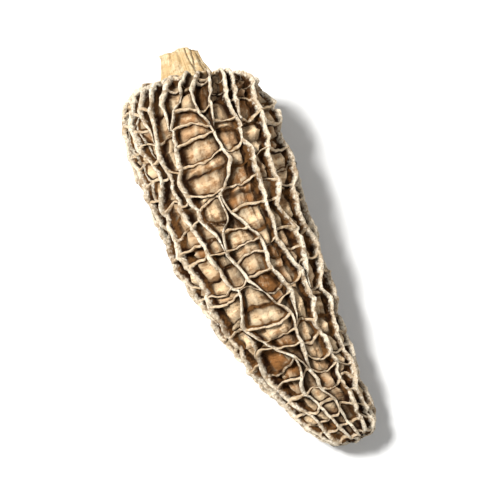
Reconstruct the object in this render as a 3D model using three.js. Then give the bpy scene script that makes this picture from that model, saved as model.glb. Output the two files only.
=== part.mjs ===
// A dried black morel: one hollow fruiting body, cut off low on its stem and lying on its side.
// Its cap is a net of long ribs, joined by short rungs, that stands round sunken pits.
// Millimetres. +X runs from the cut stem to the tip of the cap, +Z is up, and it lies on z = 0.
import * as THREE from "three";

// Driving dimensions
const LENGTH = 53; // from the cut stem to the tip of the cap
const STEM_LENGTH = 4.8; // bare stem that shows below the cap
const CAP_THICKNESS = 0.86; // the cap's height as a share of its width, as it dried lying down
const RIB_HALF = 0.32; // half the thickness of a rib's edge
const WALL_RUN = 0.36; // how far a pit's wall slopes in from a rib's edge to the floor
const EDGE_MOST = { across: 0.2, along: 0.14 }; // the most of a small pit that a rib's edge takes
const FOOT_MOST = { across: 0.37, along: 0.32 }; // the same for the edge and the wall together
const EDGE_ROUND = 0.07; // how far a rib's edge falls away from its middle
const PIT_DEPTH = 2.1; // from a rib's edge to the floor of a wide pit
const DEPTH_SPREAD = [0.86, 1.12]; // the least and most that a pit's depth is multiplied by
const FULL_WIDTH = 1.7; // a pit at least this wide reaches its full depth
const NARROW_DEPTH = 0.5; // share of the depth that the narrowest pit keeps
const RIB_DIP = 0.22; // how far ribs rise and fall, as a share of the pit depth
const TIP_EDGE = { u: 0.956, depth: 0.1 }; // the inner edge of the ribs round the tip's pit
const TIP_FOOT = { u: 0.966, depth: 0.8 }; // the foot of its wall
const TIP_DEPTH = 0.9;
const RUNG_DROP = 0.26; // how far a rung sags below its ribs, as a share of the pit depth
const STEM_FLUTES = { count: 5, depth: 0.035, turn: 0.6 }; // soft flutes, as a share of the stem's radius
const CUT = { x: 0.5, uneven: 0.12 }; // where the stem is cut off, and how uneven the cut is
// Swellings round the cap: how many, their height as a share of its radius, and where they start and turn
const LOBES = [
  { count: 2, height: 0.028, turn: 0.9, twist: 0.07 },
  { count: 3, height: 0.024, turn: -1.1, twist: 0.09 },
];
const BOW = 1.6; // how far the body's middle bows towards -Y
const TIP_SWAY = { reach: 2.6, from: 0.5 }; // how far the tip bends back, from which share of the length
// The cap's lower edge and the cut are off square: their +Y side is this much further along, as a share of
// the distance from the axis. It fades out at x.
const SLANT = { share: 0.2, until: 16 };
// The body's axis is this high at x, and sinks from there to the tip as the body narrows
const AXIS = { x: 10, height: 7.75, slope: 0.035, curve: 0.0016 };
const MIDDLE = { x: 26.11, y: -0.98 }; // the point that comes to lie over the origin
const FLESH = { color: 0x7d6244, roughness: 0.85, metalness: 0 };

// The outline that the ribs' edges follow, as [x, radius], from the stem to the tip
const CAP_OUTLINE = [
  [STEM_LENGTH, 3.4],
  [4.4, 5.4],
  [4.7, 7.4],
  [6.2, 8.9],
  [10, 9.5],
  [16, 9.4],
  [24, 9.1],
  [31, 8.5],
  [38, 7.3],
  [44, 5.9],
  [48.2, 4.8],
  [51.1, 3.6],
  [52.6, 1.9],
  [LENGTH, 0],
];
const STEM_OUTLINE = [
  [0, 2.15],
  [1.4, 2.3],
  [3.2, 2.8],
  [STEM_LENGTH, 3.4],
];
// The hollow that runs from the cut stem up into the cap
const HOLLOW_OUTLINE = [
  [0, 1.5],
  [2.4, 1.65],
  [4.6, 2.2],
  [6.4, 3.4],
  [7.8, 5.0],
  [10.2, 6.0],
  [15, 6.2],
  [24, 5.8],
  [32, 5.1],
  [39, 4.0],
  [44.4, 2.8],
  [48.4, 1.8],
  [49.8, 0],
];

// The net. A station is a step along the cap, counted from the stem, at which a rung may stand.
const SEED = 7;
const STATIONS = 28;
const NET_END = 0.95; // share of the outline, from the stem, that the stations cover
const STATION_JITTER = 0.3; // how far a rib's stations stray along it, in steps
const RIB_WOBBLE = 0.08; // how far a rib strays sideways, as a share of the narrower column beside it
const FORK_STEPS = 2; // steps over which a rib leaves or meets the one before it
const FORK_MARGIN = 0.36; // steps short of the fork at which the two ribs are one
const PIT_STEPS = [1, 2, 2, 3]; // a pit's length in stations, drawn evenly from these
const RUNG_SHIFT = 0.7; // how often a rung moves off the line of the rung beside it
const HOLLOW_RINGS = 12;
const STEM_RINGS = 3;

// The long ribs of the side that lies uppermost, in order round the body. A course gives [station, degrees]
// points. A rib is one with the rib before it, except between `since` and `until`. Rungs cross to the rib
// after it at the stations named, and elsewhere at drawn ones.
const TOP_RIBS = [
  { course: [[0, 0], [6, 9], [12, 4], [18, 2], [24, 6]] },
  {
    course: [[10, 24], [12, 29], [14, 19], [16, 16], [18, 26], [19, 21], [21, 28], [23, 23], [25, 37],
      [27, 28]],
    since: 10,
    rungs: [5, 7, 9, 11, 14, 16, 18],
  },
  {
    course: [[0, 14], [3, 30], [5, 38], [8, 39], [11, 44], [12, 49], [13, 45], [16, 39], [18, 49], [20, 55],
      [22, 58], [23, 50], [24, 57], [26, 62]],
    rungs: [6, 9, 11, 14],
  },
  {
    course: [[0, 36], [3, 52], [5, 59], [7, 61], [10, 58], [12, 61], [14, 61], [16, 55], [18, 52]],
    until: 18,
  },
  {
    course: [[0, 46], [3, 60], [5, 67], [7, 64]],
    until: 7,
    rungs: [6, 8, 12, 14, 17, 20, 22, 23, 24, 26],
  },
  {
    course: [[0, 58], [3, 74], [5, 79], [7, 84], [8.5, 80], [10, 89], [11, 97], [12.5, 88], [14, 78], [16, 80],
      [18, 70], [19, 73], [20, 82], [23, 92], [25, 86], [27, 84]],
  },
  { course: [[0, 68], [3, 86], [5, 91], [7, 86]], until: 7, rungs: [13, 14, 16, 18] },
  {
    course: [[11, 97], [12, 99], [13, 106], [14, 107], [15.5, 105], [17, 97], [18, 91], [20, 83]],
    since: 11,
    until: 20,
    rungs: [5, 6, 7, 10, 11],
  },
  {
    course: [[0, 82], [3, 98], [4.5, 107], [6.4, 119], [7.5, 113], [9, 124], [10, 119], [12, 117], [14, 108]],
    until: 14,
  },
  { course: [[0, 96], [3, 111], [4.5, 119], [6, 120]], until: 6, rungs: [8, 10, 12, 14, 16, 17, 19, 20, 21] },
  {
    course: [[0, 108], [3, 123], [5, 129], [9, 131], [11, 129], [13, 124], [16, 118], [17, 116], [19, 127],
      [20.5, 116], [22, 103], [23, 96]],
    until: 23,
    rungs: [24, 26],
  },
  { course: [[22, 104], [23, 114], [24, 120], [25, 114], [27, 106]], since: 22 },
  { course: [[0, 119], [3, 134], [5, 139], [6, 136]], until: 6, rungs: [21, 23, 24, 26] },
  {
    course: [[19, 128], [20, 132], [21, 141], [23, 152], [25, 141], [28, 146]],
    since: 19,
    rungs: [5, 6, 7, 8, 10, 13, 14, 16, 17, 19, 21, 23, 25],
  },
  {
    course: [[0, 132], [3, 146], [5, 152], [8, 139], [10, 147], [13, 150], [15, 142], [17, 148], [20, 158],
      [23, 172], [27, 176]],
    rungs: [4, 5, 7, 8, 9, 11, 13, 15],
  },
  { course: [[0, 148], [3, 164], [6, 170], [8, 162], [12, 170], [15, 170], [18, 160]], until: 18 },
];
// The ribs of the side that lies below spread evenly between these angles, at the stem and over the cap
const BELOW_AT_STEM = [163, 347];
const BELOW_ON_CAP = [192, 347];
const BELOW_SPANS = [
  {},
  { until: 13 },
  {},
  { since: 5, until: 19 },
  { until: 24 },
  {},
  { until: 16 },
  {},
  { since: 8 },
  { until: 21 },
  {},
];
// Degrees by which these ribs stray round the body, and radians a station at which they do
const BELOW_SLOW = { degrees: 4.5, pace: 0.4 };
const BELOW_QUICK = { degrees: 2.2, pace: 1.1 };
const COURSE_STEP = 2; // stations between the points of their courses
const SHOULDER = 3; // the station at which the ribs have spread out over the cap
const HEIGHT_PACE = 1.6; // radians a station at which a rib rises and falls

const lerp = THREE.MathUtils.lerp;
const clamp = THREE.MathUtils.clamp;
const smoothstep = THREE.MathUtils.smoothstep;
const radians = THREE.MathUtils.degToRad;

// The same draws every time
function makeRandom(seed) {
  let state = seed;
  return () => {
    state = (Math.imul(state, 1664525) + 1013904223) >>> 0;
    return state / 4294967296;
  };
}
const random = makeRandom(SEED);
const signed = () => 2 * random() - 1;

const outlineOf = (points) => new THREE.SplineCurve(points.map(([x, r]) => new THREE.Vector2(x, r)));
const capOutline = outlineOf(CAP_OUTLINE);
const stemOutline = outlineOf(STEM_OUTLINE);
const hollowOutline = outlineOf(HOLLOW_OUTLINE);

// The course of a rib that lies below: n counts them, and its place among them is kept as it wanders
function courseBelow(n) {
  const place = n / (BELOW_SPANS.length - 1);
  const waves = [BELOW_SLOW, BELOW_QUICK].map((wave) => ({ ...wave, start: 2 * Math.PI * random() }));
  const course = [];
  for (let station = 0; station <= STATIONS; station += COURSE_STEP) {
    const spread = Math.min(1, station / SHOULDER);
    const from = lerp(BELOW_AT_STEM[0], BELOW_ON_CAP[0], spread);
    const to = lerp(BELOW_AT_STEM[1], BELOW_ON_CAP[1], spread);
    const strays = waves.map(({ degrees, pace, start }) => degrees * Math.sin(pace * station + start));
    course.push([station, lerp(from, to, place) + spread * (strays[0] + strays[1])]);
  }
  return course;
}

const ribs = [
  ...TOP_RIBS,
  ...BELOW_SPANS.map((span, n) => ({ ...span, course: courseBelow(n) })),
].map(({ course, since = 0, until = Infinity, rungs }) => ({
  course,
  since,
  until,
  rungs,
  jitter: Array.from({ length: STATIONS + 1 }, () => STATION_JITTER * signed()),
  wobble: Array.from({ length: STATIONS + 1 }, () => RIB_WOBBLE * signed()),
  phase: 2 * Math.PI * random(),
}));
const COUNT = ribs.length;
const wrap = (i) => (i + COUNT) % COUNT;

// A smooth line through a rib's course, straight beyond its ends
function courseAt(course, station) {
  let n = 1;
  while (n < course.length - 1 && station > course[n][0]) n++;
  const slope = (a, b) => (course[b][1] - course[a][1]) / (course[b][0] - course[a][0]);
  const [from, start] = course[n - 1];
  const [to, end] = course[n];
  const length = to - from;
  const t = clamp((station - from) / length, 0, 1);
  const leaving = length * slope(Math.max(n - 2, 0), n);
  const arriving = length * slope(n - 1, Math.min(n + 1, course.length - 1));
  const bend = t * (1 - t) * ((1 - t) * (leaving - (end - start)) - t * (arriving - (end - start)));
  return lerp(start, end, t) + bend;
}

// Where rib i stands round the body, in radians, before it wobbles
function ribAngle(i, station) {
  const { course, since, until } = ribs[i];
  const meeting = clamp((until - FORK_MARGIN - station) / FORK_STEPS, 0, 1);
  const leaving = since ? clamp((station - since - FORK_MARGIN) / FORK_STEPS, 0, 1) : 1;
  const apart = meeting * (2 - meeting) * leaving * (2 - leaving);
  const own = apart > 0 ? radians(courseAt(course, station)) : 0;
  return apart < 1 ? lerp(ribAngle(i - 1, station), own, apart) : own;
}

// Whether rib i is one with the rib before it at station k
function isJoined(i, k) {
  const { since, until } = ribs[wrap(i)];
  return k >= until || (since > 0 && k <= since);
}

// How strongly the net stands out, from nothing at the stem to its full depth on the cap
const reliefAt = (u) => smoothstep(u, -0.005, 0.1) * (1 - 0.35 * smoothstep(u, 0.8, 1));

// The place along the outline and round it where rib i meets station k. Ribs that are joined there are one,
// and the first of them stands for all.
function makeNode(i, k) {
  let first = i;
  while (isJoined(first, k)) first--;
  let next = i + 1;
  while (isJoined(next, k)) next++;
  const rib = ribs[wrap(first)];
  const ends = k === 0 || k === STATIONS;
  const station = k + (ends ? 0 : rib.jitter[k]);
  const angleOf = (j) => ribAngle(wrap(j), station) + 2 * Math.PI * Math.floor(j / COUNT);
  const even = angleOf(first);
  const room = Math.min(even - angleOf(first - 1), angleOf(next) - even);
  const wave = Math.sin(HEIGHT_PACE * station + rib.phase);
  const u = (NET_END * station) / STATIONS;
  return {
    key: wrap(first) + ":" + k,
    u,
    angle: even + (ends ? 0 : rib.wobble[k] * room),
    height: -0.5 * RIB_DIP * (1 + wave) * PIT_DEPTH * reliefAt(u),
  };
}
const nodes = Array.from({ length: COUNT + 1 }, (_, i) =>
  Array.from({ length: STATIONS + 1 }, (_, k) => makeNode(i, k)),
);

// Bends, flattens and lays down the body. x and r are a place on an outline, angle is round the body.
function place(x, r, angle) {
  const cap = smoothstep(x, STEM_LENGTH - 1, STEM_LENGTH + 5);
  const lobes = LOBES.reduce(
    (sum, lobe) => sum + lobe.height * Math.sin(lobe.count * angle + lobe.turn + lobe.twist * x),
    0,
  );
  const radius = r * (1 + cap * lobes);
  const along = SLANT.share * (1 - smoothstep(x, STEM_LENGTH, SLANT.until)) * r * Math.cos(angle);
  const sway = TIP_SWAY.reach * clamp((x / LENGTH - TIP_SWAY.from) / (1 - TIP_SWAY.from), 0, 1) ** 2;
  const sideways = sway - BOW * Math.sin((Math.PI * x) / LENGTH);
  const up = AXIS.height - AXIS.slope * (x - AXIS.x) - AXIS.curve * (x - AXIS.x) ** 2;
  return new THREE.Vector3(
    x + along - MIDDLE.x,
    sideways - MIDDLE.y + radius * Math.cos(angle),
    Math.max(up + radius * lerp(1, CAP_THICKNESS, cap) * Math.sin(angle), 0),
  );
}

// A point on the cap, `height` above the outline that the ribs' edges follow
function onCap(u, angle, height) {
  const at = capOutline.getPointAt(u);
  const run = capOutline.getTangentAt(u);
  return place(at.x - run.y * height, at.y + run.x * height, angle);
}

const vertices = [];
const triangles = [];
const shared = new Map();

function addVertex(point) {
  vertices.push(point.x, point.y, point.z);
  return vertices.length / 3 - 1;
}

function sharedVertex(key, makePoint) {
  if (!shared.has(key)) shared.set(key, addVertex(makePoint()));
  return shared.get(key);
}

function addTriangle(a, b, c) {
  if (a !== b && b !== c && c !== a) triangles.push(a, b, c);
}

// Joins two rings of as many vertices each
function addBand(outer, inner) {
  outer.forEach((a, i) => {
    const next = (i + 1) % outer.length;
    addTriangle(a, outer[next], inner[i]);
    addTriangle(outer[next], inner[next], inner[i]);
  });
}

function addFan(ring, middle) {
  ring.forEach((a, i) => addTriangle(a, ring[(i + 1) % ring.length], middle));
}

// Closes a ring of vertices across, in rungs between its two long sides
function addFloor(ring) {
  for (let near = 0, far = ring.length - 2; near < far; near++, far--) {
    const before = ring[(near + ring.length - 1) % ring.length];
    if (near === 0) addTriangle(before, ring[0], ring[far]);
    else {
      addTriangle(before, ring[near], ring[far]);
      addTriangle(before, ring[far], ring[far + 1]);
    }
  }
  const half = ring.length / 2 - 1;
  addTriangle(ring[half - 1], ring[half], ring[half + 1]);
}

// The middle of the rung, or of the stem's edge, that closes column i at station k
function rungMiddle(i, k) {
  const low = nodes[i][k];
  const high = nodes[i + 1][k];
  const u = (low.u + high.u) / 2;
  const angle = (low.angle + high.angle) / 2;
  const width = (high.angle - low.angle) * capOutline.getPointAt(u).y;
  const sag = RUNG_DROP * PIT_DEPTH * reliefAt(u) * Math.min(1, width / FULL_WIDTH);
  const height = (low.height + high.height) / 2 - (k === STATIONS ? 0 : sag);
  return { key: low.key === high.key ? low.key : "rung" + i + ":" + k, u, angle, height };
}

const vertexOf = (node) => sharedVertex(node.key, () => onCap(node.u, node.angle, node.height));

// One pit of column i, between stations `from` and `to`: the ribs' edges round it, its wall and its floor
function addPit(i, from, to, depthShare) {
  const low = nodes[i].slice(from, to + 1);
  const high = nodes[i + 1].slice(from, to + 1);
  const steps = to - from;
  const between = (side, b) => {
    const k = Math.min(Math.floor(b * steps), steps - 1);
    const share = b * steps - k;
    const [a, c] = [side[k], side[k + 1]];
    return { u: lerp(a.u, c.u, share), angle: lerp(a.angle, c.angle, share) };
  };
  const inPit = (a, b) => {
    const start = between(low, b);
    const end = between(high, b);
    const u = lerp(start.u, end.u, a);
    const angle = lerp(start.angle, end.angle, a);
    return { u, angle, width: (end.angle - start.angle) * capOutline.getPointAt(u).y };
  };
  const length = ((low[steps].u - low[0].u + high[steps].u - high[0].u) / 2) * capOutline.getLength();

  // The ring of places round the pit: a is 0 on the low rib and 1 on the high one, b runs along the pit
  const ring = [];
  for (let k = steps; k >= 0; k--) ring.push({ node: low[k], a: 0, b: k / steps });
  ring.push({ node: rungMiddle(i, from), a: 0.5, b: 0 });
  for (let k = 0; k <= steps; k++) ring.push({ node: high[k], a: 1, b: k / steps });
  ring.push({ node: rungMiddle(i, to), a: 0.5, b: 1 });

  const inset = (inward, most, heightOf) =>
    ring.map(({ node, a, b }) => {
      const along = Math.min(inward / length, most.along);
      const b2 = clamp(b, along, 1 - along);
      const across = Math.min(inward / inPit(a, b2).width, most.across);
      const at = inPit(clamp(a, across, 1 - across), b2);
      return addVertex(onCap(at.u, at.angle, heightOf(node, at)));
    });
  const depthAt = ({ u, width }) =>
    PIT_DEPTH * depthShare * reliefAt(u) * clamp(width / FULL_WIDTH, NARROW_DEPTH, 1);

  const crest = ring.map(({ node }) => vertexOf(node));
  const edge = inset(RIB_HALF, EDGE_MOST, (node) => node.height - EDGE_ROUND * reliefAt(node.u));
  const foot = inset(RIB_HALF + WALL_RUN, FOOT_MOST, (node, at) => -depthAt(at));
  addBand(crest, edge);
  addBand(edge, foot);
  addFloor(foot);
}

// The stations at which rungs cross from rib i to the next, with those where that column begins and ends
function rungStations(i, neighbour) {
  const { since, until } = ribs[wrap(i + 1)];
  const end = Math.min(until, STATIONS);
  const named = (ribs[i].rungs ?? []).filter((k) => k > since && k < end);
  const stations = [since, ...named];
  for (;;) {
    const k = stations[stations.length - 1] + PIT_STEPS[Math.floor(PIT_STEPS.length * random())];
    const next = neighbour.includes(k) && random() < RUNG_SHIFT ? k + 1 : k;
    if (next >= end - 1) break;
    stations.push(next);
  }
  return [...stations, end];
}

function addNet() {
  let rungs = [];
  for (let i = 0; i < COUNT; i++) {
    rungs = rungStations(i, rungs);
    for (let n = 1; n < rungs.length; n++) {
      addPit(i, rungs[n - 1], rungs[n], lerp(DEPTH_SPREAD[0], DEPTH_SPREAD[1], random()));
    }
  }
}

// The nodes and rung middles round the body at one end of the net
function netRing(k) {
  const ring = [];
  for (let i = 0; i < COUNT; i++) {
    if (!isJoined(i + 1, k)) ring.push(nodes[i][k], rungMiddle(i, k));
  }
  return ring;
}

// The pit at the tip, inside the ring where the last ribs meet
function addTipPit() {
  const ring = netRing(STATIONS);
  const inset = ({ u, depth }) => ring.map(({ angle }) => addVertex(onCap(u, angle, -depth)));
  const edge = inset(TIP_EDGE);
  const foot = inset(TIP_FOOT);
  addBand(ring.map(vertexOf), edge);
  addBand(edge, foot);
  addFan(foot, addVertex(onCap(1, 0, -TIP_DEPTH)));
}

// The cut edge of the stem is a little uneven
const rimX = (angle) => CUT.x + CUT.uneven * Math.sin(3 * angle + 1);

// The stem, from the cap's ribs to its cut edge, and the hollow inside, which is open at that edge
function addStemAndHollow() {
  const ring = netRing(0);
  const { count, depth, turn } = STEM_FLUTES;
  const fluted = (r, angle) => r * (1 + depth * Math.sin(count * angle + turn));
  const ringAt = (x, r) => ring.map(({ angle }) => addVertex(place(x, r, angle)));
  const stemRing = (x, r) => ring.map(({ angle }) => addVertex(place(x, fluted(r, angle), angle)));
  const cutRing = (r) => ring.map(({ angle }) => addVertex(place(rimX(angle), fluted(r, angle), angle)));
  const rings = [ring.map(vertexOf)];
  for (let n = 1; n < STEM_RINGS; n++) {
    const at = stemOutline.getPointAt(1 - n / STEM_RINGS);
    rings.push(stemRing(at.x, at.y));
  }
  rings.push(cutRing(STEM_OUTLINE[0][1]), cutRing(HOLLOW_OUTLINE[0][1]));
  for (let n = 1; n < HOLLOW_RINGS; n++) {
    const at = hollowOutline.getPointAt(n / HOLLOW_RINGS);
    rings.push(ringAt(at.x, at.y));
  }
  rings.slice(1).forEach((inner, n) => addBand(rings[n].toReversed(), inner.toReversed()));
  const end = hollowOutline.getPointAt(1);
  addFan(rings[rings.length - 1].toReversed(), addVertex(place(end.x, 0, 0)));
}

addNet();
addTipPit();
addStemAndHollow();

const geometry = new THREE.BufferGeometry();
geometry.setAttribute("position", new THREE.Float32BufferAttribute(vertices, 3));
geometry.setIndex(triangles);
geometry.computeVertexNormals();

const body = new THREE.Mesh(geometry, new THREE.MeshStandardMaterial(FLESH));
body.name = "morel";

const morel = new THREE.Group();
morel.add(body);

export default morel;
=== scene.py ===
"""A dried black morel, lying on its side: one hollow fruiting body whose cap is a net of ribs round pits.

The flesh is one closed sheet. Its lines run along the body, a group of them in the column between each rib
and the next. Its rows run round it, from the end of the hollow out over the cut edge, along the stem and the
cap and into the tip. The sheet is wrapped round the body, raised into ribs and rungs, and sunk into pits.
Sizes are in millimetres until a point goes into the mesh, and the frame is in metres.
"""
import functools
import math

import bmesh
import bpy
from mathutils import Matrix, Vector, noise


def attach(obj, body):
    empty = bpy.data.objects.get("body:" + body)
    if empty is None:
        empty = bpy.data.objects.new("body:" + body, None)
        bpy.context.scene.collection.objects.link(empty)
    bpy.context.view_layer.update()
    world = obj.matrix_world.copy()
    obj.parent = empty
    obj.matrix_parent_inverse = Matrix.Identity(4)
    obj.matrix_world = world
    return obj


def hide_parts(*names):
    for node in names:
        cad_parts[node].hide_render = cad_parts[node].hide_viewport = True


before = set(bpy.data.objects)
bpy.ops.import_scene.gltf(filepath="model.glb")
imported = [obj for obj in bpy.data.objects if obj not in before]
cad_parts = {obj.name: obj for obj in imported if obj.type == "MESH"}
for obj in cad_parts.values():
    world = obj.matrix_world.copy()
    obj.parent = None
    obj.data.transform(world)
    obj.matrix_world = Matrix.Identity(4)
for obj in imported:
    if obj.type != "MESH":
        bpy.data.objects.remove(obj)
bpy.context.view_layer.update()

MM = 0.001
JOIN_DISTANCE = 1e-7  # metres within which points of the mesh become one

# Body
LENGTH = 53.0  # from the cut stem to the tip of the cap
STEM_LENGTH = 4.8  # bare stem that shows below the cap
CAP_THICKNESS = 0.86  # the cap's height as a share of its width, as it dried lying down
COLLAR = (STEM_LENGTH - 1, STEM_LENGTH + 5)  # between these the stem's round section turns into the cap's
# Swellings round the cap: how many, their height as a share of its radius, and where they start and turn
LOBES = (
    {"count": 2, "height": 0.028, "turn": 0.9, "twist": 0.07},
    {"count": 3, "height": 0.024, "turn": -1.1, "twist": 0.09},
)
BOW = 1.6  # how far the body's middle bows towards -Y
TIP_SWAY = {"reach": 2.6, "from": 0.5}  # how far the tip bends back, from which share of the length
# The cap's lower edge and the cut are off square: their +Y side is this much further along, as a share of the
# distance from the axis. Along the cap that fades, and it has gone by x = `until`.
SLANT = {"share": 0.2, "until": 16}
# The body's axis is this high at x, and sinks from there to the tip as the body narrows
AXIS = {"x": 10, "height": 7.75, "slope": 0.035, "curve": 0.0016}
MIDDLE = {"x": 26.11, "y": -0.98}  # the point that comes to lie over the origin

# Outlines, as (x, radius), from the stem to the tip
CAP_OUTLINE = (
    (STEM_LENGTH, 3.4), (4.4, 5.4), (4.7, 7.4), (6.2, 8.9), (10, 9.5), (16, 9.4), (24, 9.1),
    (31, 8.5), (38, 7.3), (44, 5.9), (48.2, 4.8), (51.1, 3.6), (52.6, 1.9), (LENGTH, 0),
)
STEM_OUTLINE = ((0, 2.15), (1.4, 2.3), (3.2, 2.8), (STEM_LENGTH, 3.4))
HOLLOW_OUTLINE = (
    (0, 1.5), (2.4, 1.65), (4.6, 2.2), (6.4, 3.4), (7.8, 5.0), (10.2, 6.0), (15, 6.2), (24, 5.8),
    (32, 5.1), (39, 4.0), (44.4, 2.8), (48.4, 1.8), (49.8, 0),
)

# The net. A station is a step along the cap, counted from the stem, at which a rung may stand.
SEED = 7  # of the net's draws
STATIONS = 28
NET_END = 0.95  # share of the cap's outline that the stations cover
STATION_JITTER = 0.3  # how far a rib's stations stray along it, in steps
RIB_WOBBLE = 0.08  # how far a rib strays sideways, as a share of the narrower column beside it
FORK_STEPS = 2  # steps over which a rib leaves or meets the one before it
FORK_MARGIN = 0.36  # steps short of the fork at which the two ribs are one
PIT_STEPS = (1, 2, 2, 3)  # a pit's length in stations, drawn evenly from these
RUNG_SHIFT = 0.7  # how often a rung moves off the line of the rung beside it
DEPTH_SPREAD = (0.86, 1.12)  # the least and most that a pit's depth is multiplied by
HEIGHT_PACE = 1.6  # radians a station at which a rib rises and falls
RIB_DIP = 0.22  # how far it does, as a share of the pit depth
PIT_DEPTH = 2.1  # from a rib's edge to the floor of a wide pit
FULL_WIDTH = 1.7  # a pit at least this wide reaches its full depth
# The net rises and eases off over these shares of the cap's outline, and eases off by this share
RELIEF = {"rises": (-0.005, 0.1), "eases": (0.8, 1), "by": 0.35}

# The long ribs of the side that lies uppermost, in order round the body, as (station, degrees) courses. A rib
# is one with the rib before it, except between `since` and `until`. Rungs cross to the next rib at the
# stations named, and past those at drawn ones.
TOP_RIBS = (
    {"course": ((0, 0), (6, 9), (12, 4), (18, 2), (24, 6))},
    {
        "course": (
            (10, 24), (12, 29), (14, 19), (16, 16), (18, 26), (19, 21), (21, 28), (23, 23), (25, 37),
            (27, 28),
        ),
        "since": 10,
        "rungs": (5, 7, 9, 11, 14, 16, 18),
    },
    {
        "course": (
            (0, 14), (3, 30), (5, 38), (8, 39), (11, 44), (12, 49), (13, 45), (16, 39), (18, 49), (20, 55),
            (22, 58), (23, 50), (24, 57), (26, 62),
        ),
        "rungs": (6, 9, 11, 14),
    },
    {
        "course": ((0, 36), (3, 52), (5, 59), (7, 61), (10, 58), (12, 61), (14, 61), (16, 55), (18, 52)),
        "until": 18,
    },
    {
        "course": ((0, 46), (3, 60), (5, 67), (7, 64)),
        "until": 7,
        "rungs": (6, 8, 12, 14, 17, 20, 22, 23, 24, 26),
    },
    {
        "course": (
            (0, 58), (3, 74), (5, 79), (7, 84), (8.5, 80), (10, 89), (11, 97), (12.5, 88), (14, 78), (16, 80),
            (18, 70), (19, 73), (20, 82), (23, 92), (25, 86), (27, 84),
        ),
    },
    {"course": ((0, 68), (3, 86), (5, 91), (7, 86)), "until": 7, "rungs": (13, 14, 16, 18)},
    {
        "course": ((11, 97), (12, 99), (13, 106), (14, 107), (15.5, 105), (17, 97), (18, 91), (20, 83)),
        "since": 11,
        "until": 20,
        "rungs": (5, 6, 7, 10, 11),
    },
    {
        "course": (
            (0, 82), (3, 98), (4.5, 107), (6.4, 119), (7.5, 113), (9, 124), (10, 119), (12, 117), (14, 108),
        ),
        "until": 14,
    },
    {
        "course": ((0, 96), (3, 111), (4.5, 119), (6, 120)),
        "until": 6,
        "rungs": (8, 10, 12, 14, 16, 17, 19, 20, 21),
    },
    {
        "course": (
            (0, 108), (3, 123), (5, 129), (9, 131), (11, 129), (13, 124), (16, 118), (17, 116), (19, 127),
            (20.5, 116), (22, 103), (23, 96),
        ),
        "until": 23,
        "rungs": (24, 26),
    },
    {"course": ((22, 104), (23, 114), (24, 120), (25, 114), (27, 106)), "since": 22},
    {"course": ((0, 119), (3, 134), (5, 139), (6, 136)), "until": 6, "rungs": (21, 23, 24, 26)},
    {
        "course": ((19, 128), (20, 132), (21, 141), (23, 152), (25, 141), (28, 146)),
        "since": 19,
        "rungs": (5, 6, 7, 8, 10, 13, 14, 16, 17, 19, 21, 23, 25),
    },
    {
        "course": (
            (0, 132), (3, 146), (5, 152), (8, 139), (10, 147), (13, 150), (15, 142), (17, 148), (20, 158),
            (23, 172), (27, 176),
        ),
        "rungs": (4, 5, 7, 8, 9, 11, 13, 15),
    },
    {"course": ((0, 148), (3, 164), (6, 170), (8, 162), (12, 170), (15, 170), (18, 160)), "until": 18},
)
# The ribs of the side that lies below spread evenly between these angles, at the stem and over the cap
BELOW_AT_STEM = (163, 347)
BELOW_ON_CAP = (192, 347)
BELOW_SPANS = (
    {}, {"until": 13}, {}, {"since": 5, "until": 19}, {"until": 24}, {}, {"until": 16}, {}, {"since": 8},
    {"until": 21}, {},
)
# How these ribs stray round the body, in degrees, and at how many radians a station
BELOW_WAVES = ({"degrees": 4.5, "pace": 0.4}, {"degrees": 2.2, "pace": 1.1})
COURSE_STEP = 2  # stations between the points of their courses
SHOULDER = 3  # the station at which they have spread out over the cap

# The sheet. A section gives, for the lines beside a rib or the rows beside a rung, how far each lies from its
# middle and how high up it stands: over the edge, then down a wall, which on a rib turns in below a lip.
RIB_SECTION = ((0.0, 1.0), (0.13, 0.98), (0.2, 0.88), (0.15, 0.64), (0.22, 0.22), (0.46, 0.0))
RUNG_SECTION = ((0.0, 1.0), (0.11, 0.94), (0.14, 0.5), (0.32, 0.0))
ROW_SHARES = (0.0, 0.06, 0.12, 0.24, 0.5, 0.76, 0.88, 0.94)  # the sheet's rows between two stations
FLOOR_STEP = 0.44  # about how far apart its lines lie where a column's floor is widest
MOST_ACROSS = 0.42  # the most of a narrow column that one rib's section takes
LEAST_WIDTH = 1e-6  # stands in for the width of a closed column
STEM_ROWS = 12
HOLLOW_ROWS = 18
TIP_ROWS = 9

# Unevenness, as the (strength, swells a millimetre, seed) of smooth noises that add up. Strengths are in
# millimetres, or shares of a rib's thickness, a low rib's height and the stem's radius.
UNEVEN = {
    "rib thickness": ((0.5, 0.4, 17), (0.3, 1.5, 18)),
    "rib height": ((0.34, 0.6, 1), (0.2, 1.9, 2)),
    "rib lean": ((0.6, 0.3, 4), (0.34, 1.1, 5)),
    "rib tears": ((1.0, 0.5, 3),),
    "rung height": ((0.14, 2.3, 9),),
    "low rib height": ((0.3, 0.8, 24),),
    "tip height": ((0.3, 1.2, 11),),
    "cut": ((0.16, 1.1, 12), (0.1, 2.7, 13)),
    "stem furrows": ((0.05, 2.4, 15),),
    "stem": ((0.03, 1.2, 21),),
    "lining": ((0.25, 0.5, 16),),
}
# The same along a rung, with how far on the noise is read from column to column and from station to station.
# The thickness is a share.
ALONG_RUNG = {
    "thickness": {"steps": (2.3, 5.9), "noise": (0.8, 0.8, 20)},
    "height": {"steps": (3.1, 7.7), "noise": (0.22, 0.9, 8)},
    "wander": {"steps": (4.7, 3.3), "noise": (0.3, 1.0, 10)},
}
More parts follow.
